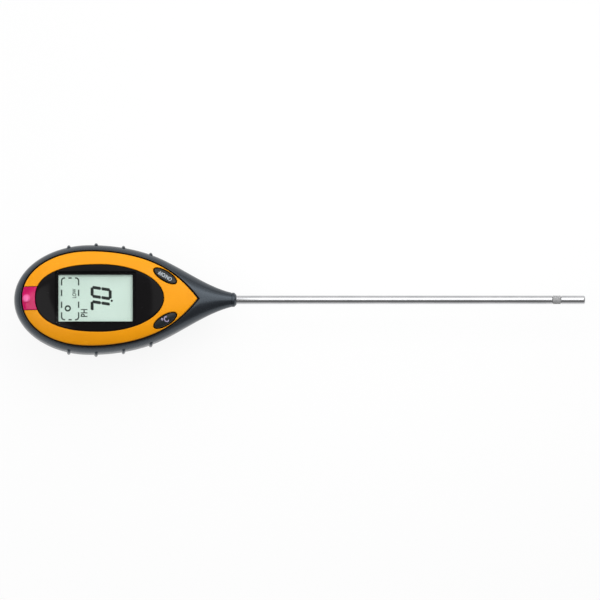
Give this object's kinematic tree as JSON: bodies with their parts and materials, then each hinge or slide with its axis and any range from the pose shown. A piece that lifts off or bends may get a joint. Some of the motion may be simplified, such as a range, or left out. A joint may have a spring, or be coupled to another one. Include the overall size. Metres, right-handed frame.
{
  "type": "soil thermometer probe",
  "caption": "Hand-held soil meter with a leaf-shaped display head, oval keys, a light window and a battery door, on a long steel probe with an insulated tip.",
  "frame": {"origin": "on the flat of the back, on the middle line, between the battery door and the nose", "axes": "+X along the probe to its tip, +Z out of the display, +Y towards the power key"},
  "size_m": [0.3224, 0.064, 0.036],
  "materials": {
    "case_plastic": "satin dark grey moulded plastic",
    "face_plastic": "satin orange moulded plastic",
    "lens_acrylic": "glossy clear acrylic with a dark surround",
    "window_acrylic": "translucent magenta acrylic",
    "key_plastic": "satin blue-grey plastic",
    "probe_steel": "polished stainless steel",
    "zinc_steel": "zinc plated",
    "insulator_plastic": "plain grey",
    "board_laminate": "green board laminate",
    "display_glass": "pale green liquid crystal display",
    "strip_rubber": "conductive rubber",
    "component_plastic": "black",
    "sensor_resin": "clear resin",
    "battery_metal": "plain metal jacket",
    "red_wire": "red insulation",
    "black_wire": "black insulation"
  },
  "bodies": {
    "case": {"front_shell": "case_plastic", "rear_shell": "case_plastic", "face_plate": "face_plastic", "display_lens": "lens_acrylic", "light_window": "window_acrylic", "probe_hub": "case_plastic", "probe_tube": "probe_steel", "probe_insulator": "insulator_plastic", "probe_tip": "probe_steel", "thermistor": "component_plastic", "tip_lead": "black_wire", "sensor_lead_1": "red_wire", "sensor_lead_2": "red_wire", "case_screw_1": "zinc_steel", "case_screw_2": "zinc_steel", "case_screw_3": "zinc_steel", "case_screw_4": "zinc_steel", "circuit_board": "board_laminate", "display_glass": "display_glass", "display_frame": "insulator_plastic", "contact_strip_1": "strip_rubber", "contact_strip_2": "strip_rubber", "controller_chip": "component_plastic", "light_sensor": "sensor_resin", "power_switch": "component_plastic", "unit_switch": "component_plastic", "battery_jacket": "battery_metal", "battery_core": "component_plastic", "battery_stud": "zinc_steel", "battery_socket": "zinc_steel", "battery_connector": "component_plastic", "red_lead": "red_wire", "black_lead": "black_wire"},
    "power_key_slide": {"power_key": "key_plastic", "power_plunger": "key_plastic"},
    "unit_key_slide": {"unit_key": "key_plastic", "unit_plunger": "key_plastic"},
    "battery_door_hinge": {"battery_door": "case_plastic"}
  },
  "joints": [
    {"name": "power_key_press", "type": "slide", "parent": "case", "child": "power_key_slide", "axis": [0, 0, -1], "range_m": [0, 0.0005], "stiffness_N_per_m": 1500},
    {"name": "unit_key_press", "type": "slide", "parent": "case", "child": "unit_key_slide", "axis": [0, 0, -1], "range_m": [0, 0.0005], "stiffness_N_per_m": 1500},
    {"name": "battery_door_swing", "type": "hinge", "parent": "case", "child": "battery_door_hinge", "pos_m": [-0.0022, 0, 0], "axis": [0, -1, 0], "range_deg": [0, 70]}
  ]
}
